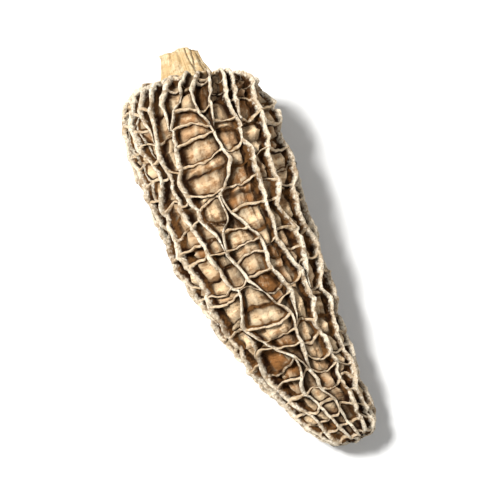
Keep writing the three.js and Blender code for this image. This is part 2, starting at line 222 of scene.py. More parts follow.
# Creases, from noise that is stretched and has so many swells a millimetre. Their height is in millimetres,
# and on the stem a share of its radius.
CREASES = {
    "broad": {"height": 0.36, "stretch": (1, 0.3, 0.3), "pace": 0.7, "seed": 6},
    "fine": {"height": 0.16, "stretch": (1, 0.4, 0.4), "pace": 1.8, "seed": 7},
    "lengthwise": {"height": 0.9, "stretch": (0.2, 1, 1), "pace": 0.6, "seed": 19},
    "tip": {"height": 0.3, "stretch": (1, 1, 1), "pace": 0.9, "seed": 22},
    "stem": {"height": 0.16, "stretch": (1, 1, 1), "pace": 0.9, "seed": 14},
}
CREASE_SHARPNESS = 2.4
SEED_SHIFT = (13.7, 5.1, 0)  # how far away a noise with the next seed is read

# Ribs
TEAR = {"from": 0.3, "to": 0.55, "depth": 0.6}  # edges are torn down this deep as their noise rises to `to`
LEAN_ROOM = {"least": 0.3, "pace": 0.6}  # ribs lean more the wider the columns beside them are than the least
LEAST_RADIUS = 1  # nearer to the axis than this, a rib leans no further round it

# Pits
SLIT = 0.22  # a column this narrow has no depth left
OPENING = 0.6  # the power by which pits deepen as their column widens
CREASED = (2 * SLIT, 5 * SLIT)  # between these widths of a column its floor's creases come in
CREASED_LENGTHWISE = (1.3, 2.6)  # and between these widths those that run along it
PILLOW = {"swell": 0.62, "sink": 0.3, "width": 2.5}  # how far floors sink, and swell up in wide columns

# Rungs, and the lower veins that cross a pit at stations with no rung
RUNG_SAG = (0.1, 0.7)  # how far they sag between their ribs, as a share of the pit's depth
RUNG_BOW = {"most": 1.0, "width": 3}  # how far they bow along the cap in a column of this width
RUNG_CLEAR = (0.06, 0.45)  # how far off its ribs a rung takes its own section and course
VEIN_SEED = 11
VEIN_CHANCE = 0.85  # how often a vein crosses at such a station
VEIN_HEIGHTS = (0.15, 0.7)  # how high it stands, as a share of the pit's depth
VEIN_WIDTH = 1.3  # the narrowest column with veins
VEIN_EDGE = 0.8  # a vein this high has a rib's pale edge
# From here to there the net gets finer, as every second vein rises this much nearer to a rung
FINE_NET = {"from": 19, "to": 23, "height": 0.75}

# Low ribs run along the middle of wide columns. Those of the upper side are named here, as
# {column: (first station, last)}, and those of the side below are drawn.
TOP_LOW_RIBS = {13: (3.5, 7.8), 14: (3.4, 9.6), 15: (5.2, 12.0)}
LOW_RIB_SEED = 23
LOW_RIB_STARTS = (3, 15)
LOW_RIB_LENGTHS = (4, 9)  # stations
LOW_RIB_FADE = 0.9  # stations
LOW_RIB_WIDTHS = (1.4, 2.2)  # between these widths of its column it comes in
LOW_RIB_HEIGHT = 0.72  # as a share of the way up to the ribs beside it
LOW_RIB_PINCH = 0.35  # how far the lines beside it draw in to it
# How far it sways, as a share of the floor's width, by noise that is read on from station to station and from
# column to column
LOW_RIB_SWAY = {"share": 0.24, "steps": (0.5, 3.3), "seed": 23}

# Tip
TIP_SEED = 31
TIP_DEPTH = 0.9  # how far the tip is sunk
TIP_SUNK = 0.5  # the share of the way in at which it is
TIP_RIB_SINK = 0.6  # its ribs sink by this share of its depth
TIP_PIT = {"depth": 0.7, "at": 0.25}  # how much deeper its pits are, and where on the way in they are so
TIP_RIM = 0.16  # the share of the way in over which the ring round the tip ends
TIP_REACH = (0.3, 1.1)  # how far into the tip its ribs reach
TIP_RIB_END = 0.2  # the share of the way in over which they end
TIP_RUNGS = (2, 6)  # the rows of the tip between which a rung crosses each column
TIP_KNOT = (0.68, 0.9)  # where the ribs that reach the middle join in a knot
TIP_SHIFT = {"by": 0.6, "waves": 2, "turn": 0.7}  # how far the tip's net strays along the body
TIP_TURNS = ({"by": 0.4, "waves": 3, "turn": 0}, {"by": 0.3, "waves": 5, "turn": 2})  # and round it, radians

# Stem and hollow
STEM_FLUTES = {"count": 5, "depth": 0.035, "turn": 0.6}  # soft flutes, as a share of the stem's radius
CUT = {"x": 0.5, "uneven": 0.12, "waves": 3, "turn": 1}  # where the stem is cut off, and how unevenly
CUT_REACH = {"until": 1.5, "pace": 0.6}  # up to here it moves the flesh, which crowds to this share
CREASE_MIDDLE = 0.4  # how high up its creases, as a share, the stem's outline runs
STEM_SMOOTH = (0.75, 1)  # the shares of the stem between which its flutes and creases fade
HOLLOW_SMOOTH = (2, 5)  # where they do in the hollow, by x
LINING = {"rough": (4, 8), "radius": 2}  # it gets rough between these x, and less so in a tighter hollow
NOISE_RING = 3  # the radius of the ring round which the stem's noise is read
STEM_GRAIN = 0.3  # how fast it is read along the stem

# What the flesh shows, and the painted shade in its corners and narrow pits, as marks that its colours follow
MARKS = ("edge", "rung", "fold", "corner_shade", "tone", "narrow_shade", "stem", "hollow")
CORNER_SHADE_AT_RIBS = (0.2, 1.3)  # how far off a rib the painted shade of the corner beside it begins to fade and ends
CORNER_SHADE_AT_RUNGS = {"fades": (0.15, 0.95), "share": 0.8}  # the same off a rung or vein, where it is weaker
NARROW_SHADE_WIDTHS = (0.9, 3.9)  # a column of the first width is narrow throughout, and one of the second not at all; narrow pits and their walls get painted shade
STEM_COLOUR_END = 1.6  # the station by which the stem's colour has given way to the cap's
FOLD_SHARE = 0.7  # how strongly a broad crease shows beside a lengthwise one
TIP_CORNER_SHADE = (0.5, 0.9)  # the painted shade of the tip's pits, from the rim of the tip to its middle
# how much of a narrow pit's painted shade the tip's pits and walls get
TIP_NARROW_SHADE = 0.6


# ---- small sums ----


def lerp(a, b, t):
    return a + (b - a) * t


def clamp(x, low=0.0, high=1.0):
    return max(low, min(high, x))


def smoothstep(x, low, high):
    t = clamp((x - low) / (high - low))
    return t * t * (3 - 2 * t)


def draws(seed):
    """The same numbers from 0 to 1 every time."""
    state = seed
    while True:
        state = (state * 1664525 + 1013904223) % 4294967296
        yield state / 4294967296


rolls = draws(SEED)


def roll():
    return next(rolls)


def signed():
    return 2 * roll() - 1


def rough(spot, pace, seed):
    """Smooth noise between about -1 and 1 at a spot in millimetres, with `pace` swells a millimetre."""
    return noise.noise(Vector(spot) * pace + Vector([step * seed for step in SEED_SHIFT]))


def uneven(name, spot):
    """The noises of that name at a spot in millimetres, added up."""
    return sum(strength * rough(spot, pace, seed) for strength, pace, seed in UNEVEN[name])


def crease(name, spot):
    """Narrow folds with rounded hollows between them, from 0 to 1."""
    kind = CREASES[name]
    stretched = [share * where for share, where in zip(kind["stretch"], spot)]
    return clamp(1 - abs(CREASE_SHARPNESS * rough(stretched, kind["pace"], kind["seed"]))) ** 2


def smooth_line(a, b, c, d, w):
    """A smooth line through four points, read a share w of the way from the second to the third."""
    start, end = (c - a) / 2, (d - b) / 2
    return b + w * (start + w * (3 * (c - b) - 2 * start - end + w * (2 * (b - c) + start + end)))


class Outline:
    """A smooth line through (x, radius) points, read by the share of its length."""

    DIVISIONS = 200
    STRIDE = 1e-4  # how far to both sides, as a share of the points, its direction is read

    def __init__(self, points):
        self.points = [Vector(point) for point in points]
        steps = [self.at(n / self.DIVISIONS) for n in range(self.DIVISIONS + 1)]
        self.lengths = [0.0]
        for before, after in zip(steps, steps[1:]):
            self.lengths.append(self.lengths[-1] + (after - before).length)
        self.length = self.lengths[-1]

    def at(self, t):
        """The point a share t of the way through the list of points."""
        last = len(self.points) - 1
        place = clamp(t) * last
        n = min(int(place), last - 1)
        around = [self.points[m] for m in (max(n - 1, 0), n, n + 1, min(n + 2, last))]
        return smooth_line(*around, place - n)

    def share(self, u):
        """The t of the point a share u of the length along the line."""
        goal = clamp(u) * self.length
        low, high = 0, self.DIVISIONS
        while high - low > 1:
            middle = (low + high) // 2
            if self.lengths[middle] <= goal:
                low = middle
            else:
                high = middle
        span = self.lengths[high] - self.lengths[low]
        return (low + (goal - self.lengths[low]) / span) / self.DIVISIONS

    def point(self, u):
        return self.at(self.share(u))

    def run(self, u):
        """The line's direction a share u along it."""
        t = self.share(u)
        return (self.at(min(t + self.STRIDE, 1)) - self.at(max(t - self.STRIDE, 0))).normalized()


cap_outline = Outline(CAP_OUTLINE)
stem_outline = Outline(STEM_OUTLINE)
hollow_outline = Outline(HOLLOW_OUTLINE)
STATION_STEP = cap_outline.length * NET_END / STATIONS  # millimetres


# ---- the net's ribs and rungs ----


def course_below(n):
    """The course of rib n of those that lie below."""
    place_among = n / (len(BELOW_SPANS) - 1)
    starts = [2 * math.pi * roll() for _ in BELOW_WAVES]
    course = []
    for station in range(0, STATIONS + 1, COURSE_STEP):
        spread = min(1, station / SHOULDER)
        low = lerp(BELOW_AT_STEM[0], BELOW_ON_CAP[0], spread)
        high = lerp(BELOW_AT_STEM[1], BELOW_ON_CAP[1], spread)
        stray = 0
        for wave, start in zip(BELOW_WAVES, starts):
            stray += wave["degrees"] * math.sin(wave["pace"] * station + start)
        course.append((station, lerp(low, high, place_among) + spread * stray))
    return course


def make_ribs():
    """Every rib of the net, in order round the body, with what is drawn for it."""
    spans = list(TOP_RIBS) + [dict(span, course=course_below(n)) for n, span in enumerate(BELOW_SPANS)]
    ribs = []
    for span in spans:
        ribs.append({
            "course": span["course"],
            "since": span.get("since", 0),
            "until": span.get("until", math.inf),
            "rungs": span.get("rungs", ()),
            "jitter": [STATION_JITTER * signed() for _ in range(STATIONS + 1)],
            "wobble": [RIB_WOBBLE * signed() for _ in range(STATIONS + 1)],
            "phase": 2 * math.pi * roll(),
        })
    return ribs


ribs = make_ribs()
COUNT = len(ribs)


def course_at(course, station):
    """A smooth line through a rib's course."""
    n = 1
    while n < len(course) - 1 and station > course[n][0]:
        n += 1

    def slope(a, b):
        return (course[b][1] - course[a][1]) / (course[b][0] - course[a][0])

    (low, start), (high, end) = course[n - 1], course[n]
    length = high - low
    t = clamp((station - low) / length)
    leaving = length * slope(max(n - 2, 0), n) - (end - start)
    arriving = length * slope(n - 1, min(n + 1, len(course) - 1)) - (end - start)
    return lerp(start, end, t) + t * (1 - t) * ((1 - t) * leaving - t * arriving)


def rib_angle(i, station):
    """Where rib i stands round the body, in radians, before it wobbles."""
    rib = ribs[i % COUNT]
    turns = 2 * math.pi * (i // COUNT)
    meeting = clamp((rib["until"] - FORK_MARGIN - station) / FORK_STEPS)
    leaving = clamp((station - rib["since"] - FORK_MARGIN) / FORK_STEPS) if rib["since"] else 1
    apart = meeting * (2 - meeting) * leaving * (2 - leaving)
    own = math.radians(course_at(rib["course"], station)) + turns if apart > 0 else 0
    return lerp(rib_angle(i - 1, station), own, apart) if apart < 1 else own


def is_joined(i, station):
    """Whether rib i is one with the rib before it there."""
    rib = ribs[i % COUNT]
    return station >= rib["until"] or (rib["since"] > 0 and station <= rib["since"])


def relief_at(u):
    """How strongly the net stands out, from nothing at the stem to its full depth on the cap."""
    return smoothstep(u, *RELIEF["rises"]) * (1 - RELIEF["by"] * smoothstep(u, *RELIEF["eases"]))


def first_of(i, station):
    """The rib that rib i is one with there, or rib i itself."""
    while is_joined(i, station):
        i -= 1
    return i


def next_of(i, station):
    """The next rib after rib i that stands on its own there."""
    i += 1
    while is_joined(i, station):
        i += 1
    return i


def make_node(i, k):
    """Where rib i meets station k, as (share along the outline, angle, height)."""
    first = first_of(i, k)
    rib = ribs[first % COUNT]
    ends = k in (0, STATIONS)
    station = k + (0 if ends else rib["jitter"][k])
    even = rib_angle(first, station)
    room = min(even - rib_angle(first - 1, station), rib_angle(next_of(i, k), station) - even)
    u = NET_END * station / STATIONS
    wave = math.sin(HEIGHT_PACE * station + rib["phase"])
    angle = even + (0 if ends else rib["wobble"][k] * room)
    return Vector((u, angle, -0.5 * RIB_DIP * (1 + wave) * PIT_DEPTH * relief_at(u)))


nodes = [[make_node(i, k) for k in range(STATIONS + 1)] for i in range(COUNT + 1)]


def rung_stations(i, neighbour):
    """The stations where column i begins, has rungs, and ends."""
    after = ribs[(i + 1) % COUNT]
    end = min(after["until"], STATIONS)
    stations = [after["since"]] + [k for k in ribs[i]["rungs"] if after["since"] < k < end]
    while True:
        k = stations[-1] + PIT_STEPS[int(len(PIT_STEPS) * roll())]
        step = k + 1 if k in neighbour and roll() < RUNG_SHIFT else k
        if step >= end - 1:
            return stations + [end]
        stations.append(step)


def make_pits():
    """For each column, its pits as (first station, last station, share of the full depth)."""
    pits, rungs = [], []
    for i in range(COUNT):
        rungs = rung_stations(i, rungs)
        pits.append([(a, b, lerp(*DEPTH_SPREAD, roll())) for a, b in zip(rungs, rungs[1:])])
    return pits


pits = make_pits()


@functools.lru_cache(maxsize=None)
def rib_line(i, station):
    """Rib i's own smooth line through its nodes, as (share along, angle, height)."""
    first = first_of(i, station)
    row = nodes[first % COUNT]
    turn = Vector((0, 2 * math.pi * (first // COUNT), 0))
    k = min(int(station), STATIONS - 1)
    around = [row[m] for m in (max(k - 1, 0), k, k + 1, min(k + 2, STATIONS))]
    return turn + smooth_line(*around, station - k)


@functools.lru_cache(maxsize=None)
def rib_width(i, station):
    """How far it is across column i, in millimetres."""
    low, high = rib_line(i, station), rib_line(i + 1, station)
    return (high.y - low.y) * cap_outline.point((low.x + high.x) / 2).y


def fineness(i, k):
    """How much finer the net is at station k of column i (0 to 1): near the tip, and by a named low rib."""
    start, end = TOP_LOW_RIBS.get(i, (0, 0))
    staggered = (i + k) % 2
    return 1.0 if start < k < end else staggered * smoothstep(k, FINE_NET["from"], FINE_NET["to"])


def make_crossings():
    """For each column, what crosses it, as {station: (height as a share of the depth, sag, bow)}."""
    chances = draws(VEIN_SEED)
    crossings = []
    for i in range(COUNT):
        ends = {k for pit in pits[i] for k in pit[:2]}
        column = {}
        for k in range(1, STATIONS + 1):
            chance, height, sag, bow = (next(chances) for _ in range(4))
            crossing = (lerp(*RUNG_SAG, sag), RUNG_BOW["most"] * (2 * bow - 1))
            inside = pits[i][0][0] < k < pits[i][-1][1]
            if k == STATIONS or (k in ends and inside):
                column[k] = (1.0, *crossing)
            elif inside and rib_width(i, k) > VEIN_WIDTH and chance < VEIN_CHANCE:
                own = lerp(*VEIN_HEIGHTS, height)
                column[k] = (lerp(own, 1, FINE_NET["height"] * fineness(i, k)), *crossing)
        crossings.append(column)
    return crossings


crossings = make_crossings()


def make_low_ribs():
    """For each column that has a low rib, the stations where it starts and ends."""
    chances = draws(LOW_RIB_SEED)
    spans = dict(TOP_LOW_RIBS)
    for i in range(len(TOP_RIBS), COUNT):
        start = lerp(*LOW_RIB_STARTS, next(chances))
        spans[i] = (start, start + lerp(*LOW_RIB_LENGTHS, next(chances)))
    return spans


low_ribs = make_low_ribs()


def low_rib_at(i, station):
    """How fully column i's low rib stands there, from 0 to 1, and how far it sways from the middle."""
    if i not in low_ribs:
        return 0.0, 0.0
    start, end = low_ribs[i]
    rises = smoothstep(station, start, start + LOW_RIB_FADE)
    falls = 1 - smoothstep(station, end - LOW_RIB_FADE, end)
    by_station, by_column = LOW_RIB_SWAY["steps"]
    sway = LOW_RIB_SWAY["share"] * rough((by_station * station, by_column * i, 0), 1, LOW_RIB_SWAY["seed"])
    return rises * falls * smoothstep(rib_width(i, station), *LOW_RIB_WIDTHS), sway


# ---- the body ----


def place(x, r, angle):
    """Bends, flattens and lays down the body: a point at x and r on an outline, turned round the body."""
    cap = smoothstep(x, *COLLAR)
    swollen = 0
    for lobe in LOBES:
        swollen += lobe["height"] * math.sin(lobe["count"] * angle + lobe["turn"] + lobe["twist"] * x)
    radius = r * (1 + cap * swollen)
    along = SLANT["share"] * (1 - smoothstep(x, STEM_LENGTH, SLANT["until"])) * r * math.cos(angle)
    sway = TIP_SWAY["reach"] * clamp((x / LENGTH - TIP_SWAY["from"]) / (1 - TIP_SWAY["from"])) ** 2
    sideways = sway - BOW * math.sin(math.pi * x / LENGTH)
    up = AXIS["height"] - AXIS["slope"] * (x - AXIS["x"]) - AXIS["curve"] * (x - AXIS["x"]) ** 2
    return Vector((
        x + along - MIDDLE["x"],
        sideways - MIDDLE["y"] + radius * math.cos(angle),
        max(up + radius * lerp(1, CAP_THICKNESS, cap) * math.sin(angle), 0),
    ))


def on_cap(u, angle, height):
    """A point this high above the cap's smooth outline."""
    at, run = cap_outline.point(u), cap_outline.run(u)
    return place(at.x - run.y * height, max(at.y + run.x * height, 0), angle)


def spot_on_cap(u, angle):
    """A place on the cap for reading noise, which closes up round the body."""
    radius = cap_outline.point(u).y
    return Vector((u * cap_outline.length, radius * math.cos(angle), radius * math.sin(angle)))


# ---- the sheet's lines ----


def lines_across():
    """For each column, how many cells the sheet has between its two ribs."""
    counts = []
    for i in range(COUNT):
        widest = max(rib_width(i, k + 0.5) for k in range(STATIONS))
        floor = max(math.ceil((widest - 2 * RIB_SECTION[-1][0]) / FLOOR_STEP), 1)
        if i in low_ribs:  # which takes the middle line, with at least two cells on both sides
            floor = 2 * max(math.ceil(floor / 2), 2)
        counts.append(2 * (len(RIB_SECTION) - 1) + floor)
    return counts


@functools.lru_cache(maxsize=None)
def rib_thickness(i, station):
    """How thick rib i is there, as a share of the usual."""
    line = rib_line(i, station)
    return 1 + uneven("rib thickness", spot_on_cap(line.x, line.y))


def line_between(i, line, lines, station, width, low_rib=(0.0, 0.0)):
    """Where a line of the sheet runs in column i: (share of the width, how far up its rib it stands)."""
    close = len(RIB_SECTION) - 1
    foot = RIB_SECTION[-1][0]
    thick = [rib_thickness(rib, station) for rib in (i, i + 1)]
    low, high = (min(t * foot / max(width, LEAST_WIDTH), MOST_ACROSS) for t in thick)
    if line <= close:
        offset, stand = RIB_SECTION[line]
        return low * offset / foot, stand
    if line >= lines - close:
        offset, stand = RIB_SECTION[lines - line]
        return 1 - high * offset / foot, stand
    over_floor = (line - close) / (lines - 2 * close)
    stands, sway = low_rib
    if abs(2 * line - lines) == 2:
        over_floor = lerp(over_floor, 0.5, LOW_RIB_PINCH * stands)
    over_floor += 4 * sway * over_floor * (1 - over_floor)
    return lerp(low, 1 - high, over_floor), 0.0


def sheet_rows():
    """The sheet's rows, as (region, place in it): a station on the cap, and elsewhere a share of the way."""
    rows = [("hollow", 1 - n / HOLLOW_ROWS) for n in range(HOLLOW_ROWS + 1)]
    rows += [("stem", n / STEM_ROWS) for n in range(STEM_ROWS)]
    rows += [("cap", k + share) for k in range(STATIONS) for share in ROW_SHARES]
    rows += [("cap", float(STATIONS))]
    rows += [("tip", (n + 1) / TIP_ROWS) for n in range(TIP_ROWS)]
    return rows


# ---- the flesh ----


@functools.lru_cache(maxsize=None)
def rib_edge(i, station):
    """The edge of rib i: how high it stands (mm) and how far round the body it leans (radians)."""
    first = first_of(i, station)
    line = rib_line(first, station)
    spot = spot_on_cap(line.x, line.y)
    relief = relief_at(line.x)
    torn = TEAR["depth"] * smoothstep(uneven("rib tears", spot), TEAR["from"], TEAR["to"])
    room = min(rib_width(first - 1, station), rib_width(next_of(i, station) - 1, station))
    lean = relief * uneven("rib lean", spot) * clamp(LEAN_ROOM["pace"] * (room - LEAN_ROOM["least"]))
    radius = max(cap_outline.point(line.x).y, LEAST_RADIUS)
    return line.z + relief * (uneven("rib height", spot) - torn), lean / radius


def edges_beside(i, station, way):
    """How high the edges of column i's two ribs stand, read this share of the way from one to the other."""
    return lerp(rib_edge(i, station)[0], rib_edge(i + 1, station)[0], way)


def crossing_near(i, station):
    """What crosses column i close to a row, if anything does: (station, height, sag, rows away)."""
    k = round(station)
    away = min(range(len(ROW_SHARES)), key=lambda n: abs(abs(station - k) - ROW_SHARES[n]))
    if k in crossings[i] and away < len(RUNG_SECTION):
        height, sag, _ = crossings[i][k]
        return k, height, sag, away
    return None


def crossings_round(i, station):
    """The stations of what crosses column i before and after a row, with how far each bows along the cap."""
    stations = sorted(crossings[i])
    before = max((k for k in stations if k <= station), default=0)
    after = min((k for k in stations if k > station), default=STATIONS)
    bows = [crossings[i][k][2] if k in crossings[i] and k < STATIONS else 0 for k in (before, after)]
    return before, after, bows


class NetPoint:
    """A point of the net in column i. It starts on its pit's floor, and is raised onto what stands there."""

    def __init__(self, i, line, lines, station):
        self.i, self.station = i, station
        self.width = rib_width(i, station)
        self.way, self.stand = line_between(i, line, lines, station, self.width, low_rib_at(i, station))
        low, high = rib_line(i, station), rib_line(i + 1, station)
        self.u = lerp(low.x, high.x, self.way)
        self.angle = lerp(low.y, high.y, self.way)
        self.spot = spot_on_cap(self.u, self.angle)
        self.across = self.way * self.width
        self.from_rib = min(self.across, self.width - self.across)
        self.middle = 4 * self.way * (1 - self.way)  # from 0 at the ribs to 1 halfway between them
        self.relief = relief_at(self.u)
        self.share = next((share for start, end, share in pits[i] if start <= station <= end), 1)
        opening = clamp((self.width - SLIT) / (FULL_WIDTH - SLIT)) ** OPENING
        self.depth = PIT_DEPTH * self.share * self.relief * opening
        before, after, self.bows = crossings_round(i, station)
        self.between = (station - before) / max(after - before, 1)
        self.from_crossing = min(station - before, after - station) * STATION_STEP
        self.creases = {name: crease(name, self.spot) for name in ("broad", "fine", "lengthwise")}
        self.creases["lengthwise"] *= self.middle * smoothstep(self.width, *CREASED_LENGTHWISE)
        self.floor = self.height = self.pit_floor()
        self.lean = self.shift = self.edge = self.rung = 0.0

    def pit_floor(self):
        """How high the pit's floor is: sunk and creased, and swollen up between what crosses it."""
        folds = sum(CREASES[name]["height"] * here for name, here in self.creases.items())
        swell = PILLOW["swell"] * math.sin(math.pi * self.between) * self.middle
        swell *= clamp(self.width / PILLOW["width"])
        creased = smoothstep(self.width, *CREASED)
        return -self.depth + self.relief * (creased * (folds - PILLOW["sink"]) + swell)

    def raise_to_rib(self, rib):
        """Raises the point up the wall of a rib beside it, which leans."""
        top, lean = rib_edge(rib, self.station)
        self.height = lerp(self.floor, top, self.stand)
        self.lean = self.stand * lean
        self.edge = self.stand

    def raise_to_low_rib(self):
        """Raises the point onto the low rib along the middle of its column, where one stands."""
        stands, _ = low_rib_at(self.i, self.station)
        if stands > 0:
            share = stands * LOW_RIB_HEIGHT * (1 + uneven("low rib height", self.spot))
            self.height = lerp(self.floor, edges_beside(self.i, self.station, self.way), share)
            self.edge = stands

    def along_rung(self, name, k):
        """How uneven the rung at station k is there."""
        strength, pace, seed = ALONG_RUNG[name]["noise"]
        by_column, by_station = ALONG_RUNG[name]["steps"]
        return strength * rough((self.across, by_column * self.i, by_station * k), pace, seed)

    def raise_to_crossing(self, k, share, sag, away):
        """Raises the point onto the rung or vein of station k, so many rows away, and moves it with it."""
        offset, stand = RUNG_SECTION[away]
        offset *= 1 + self.along_rung("thickness", k)
        clear = smoothstep(self.from_rib, *RUNG_CLEAR)
        if self.station != k:
            middle_line = lerp(rib_line(self.i, k).x, rib_line(self.i + 1, k).x, self.way)
            beside = middle_line + math.copysign(offset / cap_outline.length, self.station - k)
            self.u = lerp(self.u, beside, clear)
        ragged = self.relief * (self.along_rung("height", k) + uneven("rung height", self.spot))
        edges = edges_beside(self.i, self.station, self.way)
        top = lerp(self.floor, edges - sag * self.depth * self.middle + ragged, share)
        self.height = max(self.height, lerp(self.floor, top, stand))
        self.shift = self.along_rung("wander", k) * clear
        self.edge = max(self.edge, stand * smoothstep(share, 0, VEIN_EDGE))
        self.rung = stand * (1 - self.stand)

    def marks(self):
        """What the flesh shows at the point, with the painted shade it gets."""
        # painted shade in the corners of a pit, beside its ribs and beside what crosses it
        at_rib = 1 - smoothstep(self.from_rib, *CORNER_SHADE_AT_RIBS)
        at_crossing = 1 - smoothstep(self.from_crossing, *CORNER_SHADE_AT_RUNGS["fades"])
        return {
            "edge": self.edge,
            "rung": self.rung,
            "fold": max(self.creases["lengthwise"], FOLD_SHARE * self.creases["broad"]),
            "corner_shade": max(at_rib, CORNER_SHADE_AT_RUNGS["share"] * at_crossing),
            "tone": self.share,
            "narrow_shade": 1 - smoothstep(self.width, *NARROW_SHADE_WIDTHS),
            "stem": 1 - smoothstep(self.station, 0, STEM_COLOUR_END),
        }

    def place(self):
        """Where the point lies on the body, bowed and shifted with what crosses the pit."""
        bow = lerp(*self.bows, self.between) * self.middle * min(1, self.width / RUNG_BOW["width"])
        return on_cap(self.u + (bow + self.shift) / cap_outline.length, self.angle + self.lean, self.height)


def flesh_on_cap(i, line, lines, station):
    """A point of the net in column i, with what it shows: (place, marks)."""
    point = NetPoint(i, line, lines, station)
    point.raise_to_rib(i if 2 * line <= lines else i + 1)
    if 2 * line == lines:
        point.raise_to_low_rib()
    crossing = crossing_near(i, station)
    if crossing:
        point.raise_to_crossing(*crossing)
    return point.place(), point.marks()


def make_tip():
    """How far into the tip each rib reaches, and the row at which a rung crosses each column there."""
    chances = draws(TIP_SEED)
    reaches = [lerp(*TIP_REACH, next(chances)) for _ in range(COUNT)]
    return reaches, [round(lerp(*TIP_RUNGS, next(chances))) for _ in range(COUNT)]


tip_reaches, tip_rungs = make_tip()


def waves(kind, angle):
    """How far waves round the body move a point at that angle."""
    return kind["by"] * math.sin(kind["waves"] * angle + kind["turn"])


def flesh_in_tip(i, line, lines, t):
    """A point of the tip, where the last ribs sink in and meet, with what it shows: (place, marks)."""
    low, high = rib_line(i, STATIONS), rib_line(i + 1, STATIONS)
    u = lerp(NET_END, 1, t)
    width = (high.y - low.y) * cap_outline.point(u).y
    way, stand = line_between(i, line, lines, STATIONS, width)
    angle = lerp(low.y, high.y, way)
    u += math.sin(math.pi * t) * waves(TIP_SHIFT, angle) / cap_outline.length
    angle += t * sum(waves(turn, angle) for turn in TIP_TURNS)
    spot = spot_on_cap(u, angle)

    reach = tip_reaches[first_of(i if 2 * line <= lines else i + 1, STATIONS) % COUNT]
    stand *= 1 - smoothstep(t, reach - TIP_RIB_END, reach)
    beside = {0: (i - 1, i), lines: (i, i + 1)}.get(line, (i,))
    crossed = any(round(t * TIP_ROWS) == tip_rungs[n % COUNT] for n in beside)
    ring = 1 - smoothstep(t, 0, TIP_RIM)
    stand = max(ring, stand, float(crossed), smoothstep(t, *TIP_KNOT))

    edges = edges_beside(i, STATIONS, way) * (1 - t)
    sunk = TIP_DEPTH * smoothstep(t, 0, TIP_SUNK)
    top = edges - TIP_RIB_SINK * sunk + t * uneven("tip height", spot)
    pit = TIP_PIT["depth"] * smoothstep(t, 0, TIP_PIT["at"]) * (1 - t)
    floor = edges - sunk - pit + CREASES["tip"]["height"] * crease("tip", spot)
    # the tip's pits get painted shade that deepens towards its middle, and the painted shade of a narrow pit
    marks = {"edge": stand, "corner_shade": lerp(*TIP_CORNER_SHADE, t), "tone": 1, "narrow_shade": TIP_NARROW_SHADE}
    return on_cap(u, angle, lerp(floor, top, stand)), marks


def flesh_of_stem(region, t, angle):
    """A point of the stem's outside or of the hollow, with what it shows: (place, marks)."""
    ring = Vector((NOISE_RING * math.cos(angle), NOISE_RING * math.sin(angle), 0))
    at = (stem_outline if region == "stem" else hollow_outline).point(t)
    spot = ring + Vector((0, 0, STEM_GRAIN * at.x))
    spot_across = (at.x, *ring.xy)
    flute = STEM_FLUTES["depth"] * math.sin(STEM_FLUTES["count"] * angle + STEM_FLUTES["turn"])
    creases = CREASES["stem"]["height"] * (CREASE_MIDDLE - crease("stem", spot))
    creases += uneven("stem furrows", spot) + uneven("stem", spot_across)
    if region == "stem":
        fades = 1 - smoothstep(t, *STEM_SMOOTH)
        lining = 0
    else:
        fades = 1 - smoothstep(at.x, *HOLLOW_SMOOTH)
        lining = uneven("lining", spot_across) * smoothstep(at.x, *LINING["rough"])
    r = at.y * (1 + (flute + creases) * fades) + lining * min(1, at.y / LINING["radius"])

    cut = CUT["x"] + CUT["uneven"] * math.sin(CUT["waves"] * angle + CUT["turn"]) + uneven("cut", ring)
    near_cut = 1 - smoothstep(at.x, 0, CUT_REACH["until"])
    x = lerp(at.x, cut + at.x * CUT_REACH["pace"], near_cut)
    return place(x, r, angle), {region: 1.0}


def flesh_at(region, t, i, line, lines):
    """A point of the sheet, with what it shows: (place, marks)."""
    if region == "cap":
        return flesh_on_cap(i, line, lines, t)
    if region == "tip":
        return flesh_in_tip(i, line, lines, t)
    way, _ = line_between(i, line, lines, 0, rib_width(i, 0))
    return flesh_of_stem(region, t, lerp(rib_line(i, 0).y, rib_line(i + 1, 0).y, way))


def station_of(region, t):
    """The station whose ribs a row follows."""
    return {"hollow": 0, "stem": 0, "tip": STATIONS}.get(region, t)


def is_closed(i, before, after):
    """Whether column i has closed up between two rows, where its two ribs are one."""
    return is_joined(i + 1, station_of(*before)) and is_joined(i + 1, station_of(*after))


def meeting_line(i, line, counts, station):
    """Names a line along a rib the same way from every column that meets there, so that the sheet closes."""
    if line == counts[i]:
        i, line = COUNT, 0
    if line == 0:
        i = first_of(i, station) % COUNT
    return i, line, counts[i]


